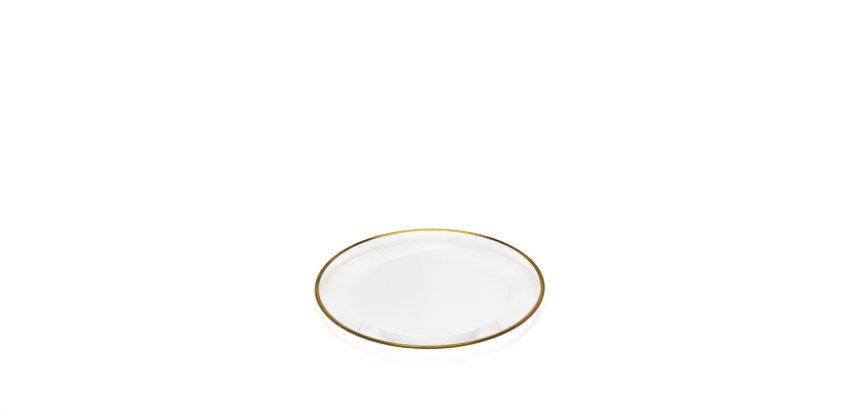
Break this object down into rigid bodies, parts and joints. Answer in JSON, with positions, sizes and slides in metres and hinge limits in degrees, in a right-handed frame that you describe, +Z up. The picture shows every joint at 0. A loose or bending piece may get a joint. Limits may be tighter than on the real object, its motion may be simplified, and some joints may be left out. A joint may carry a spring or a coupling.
{
  "type": "serving platter",
  "caption": "Round clear glass serving platter with a flat well and a broad sloping rim that curls up to a lip banded in gold, standing on a flat ring round a shallow hollow in its base.",
  "frame": {"origin": "centre of the platter on the surface it stands on", "axes": "+Z up along the axis that the platter is turned about; +X and +Y lie in the surface, and because the platter is round neither is marked on it"},
  "size_m": [0.32, 0.32, 0.0228],
  "materials": {
    "clear_glass": "polished",
    "fired_gold": "polished"
  },
  "bodies": {
    "root": {"glass_body": "clear_glass", "gold_rim_band": "fired_gold"}
  },
  "joints": []
}
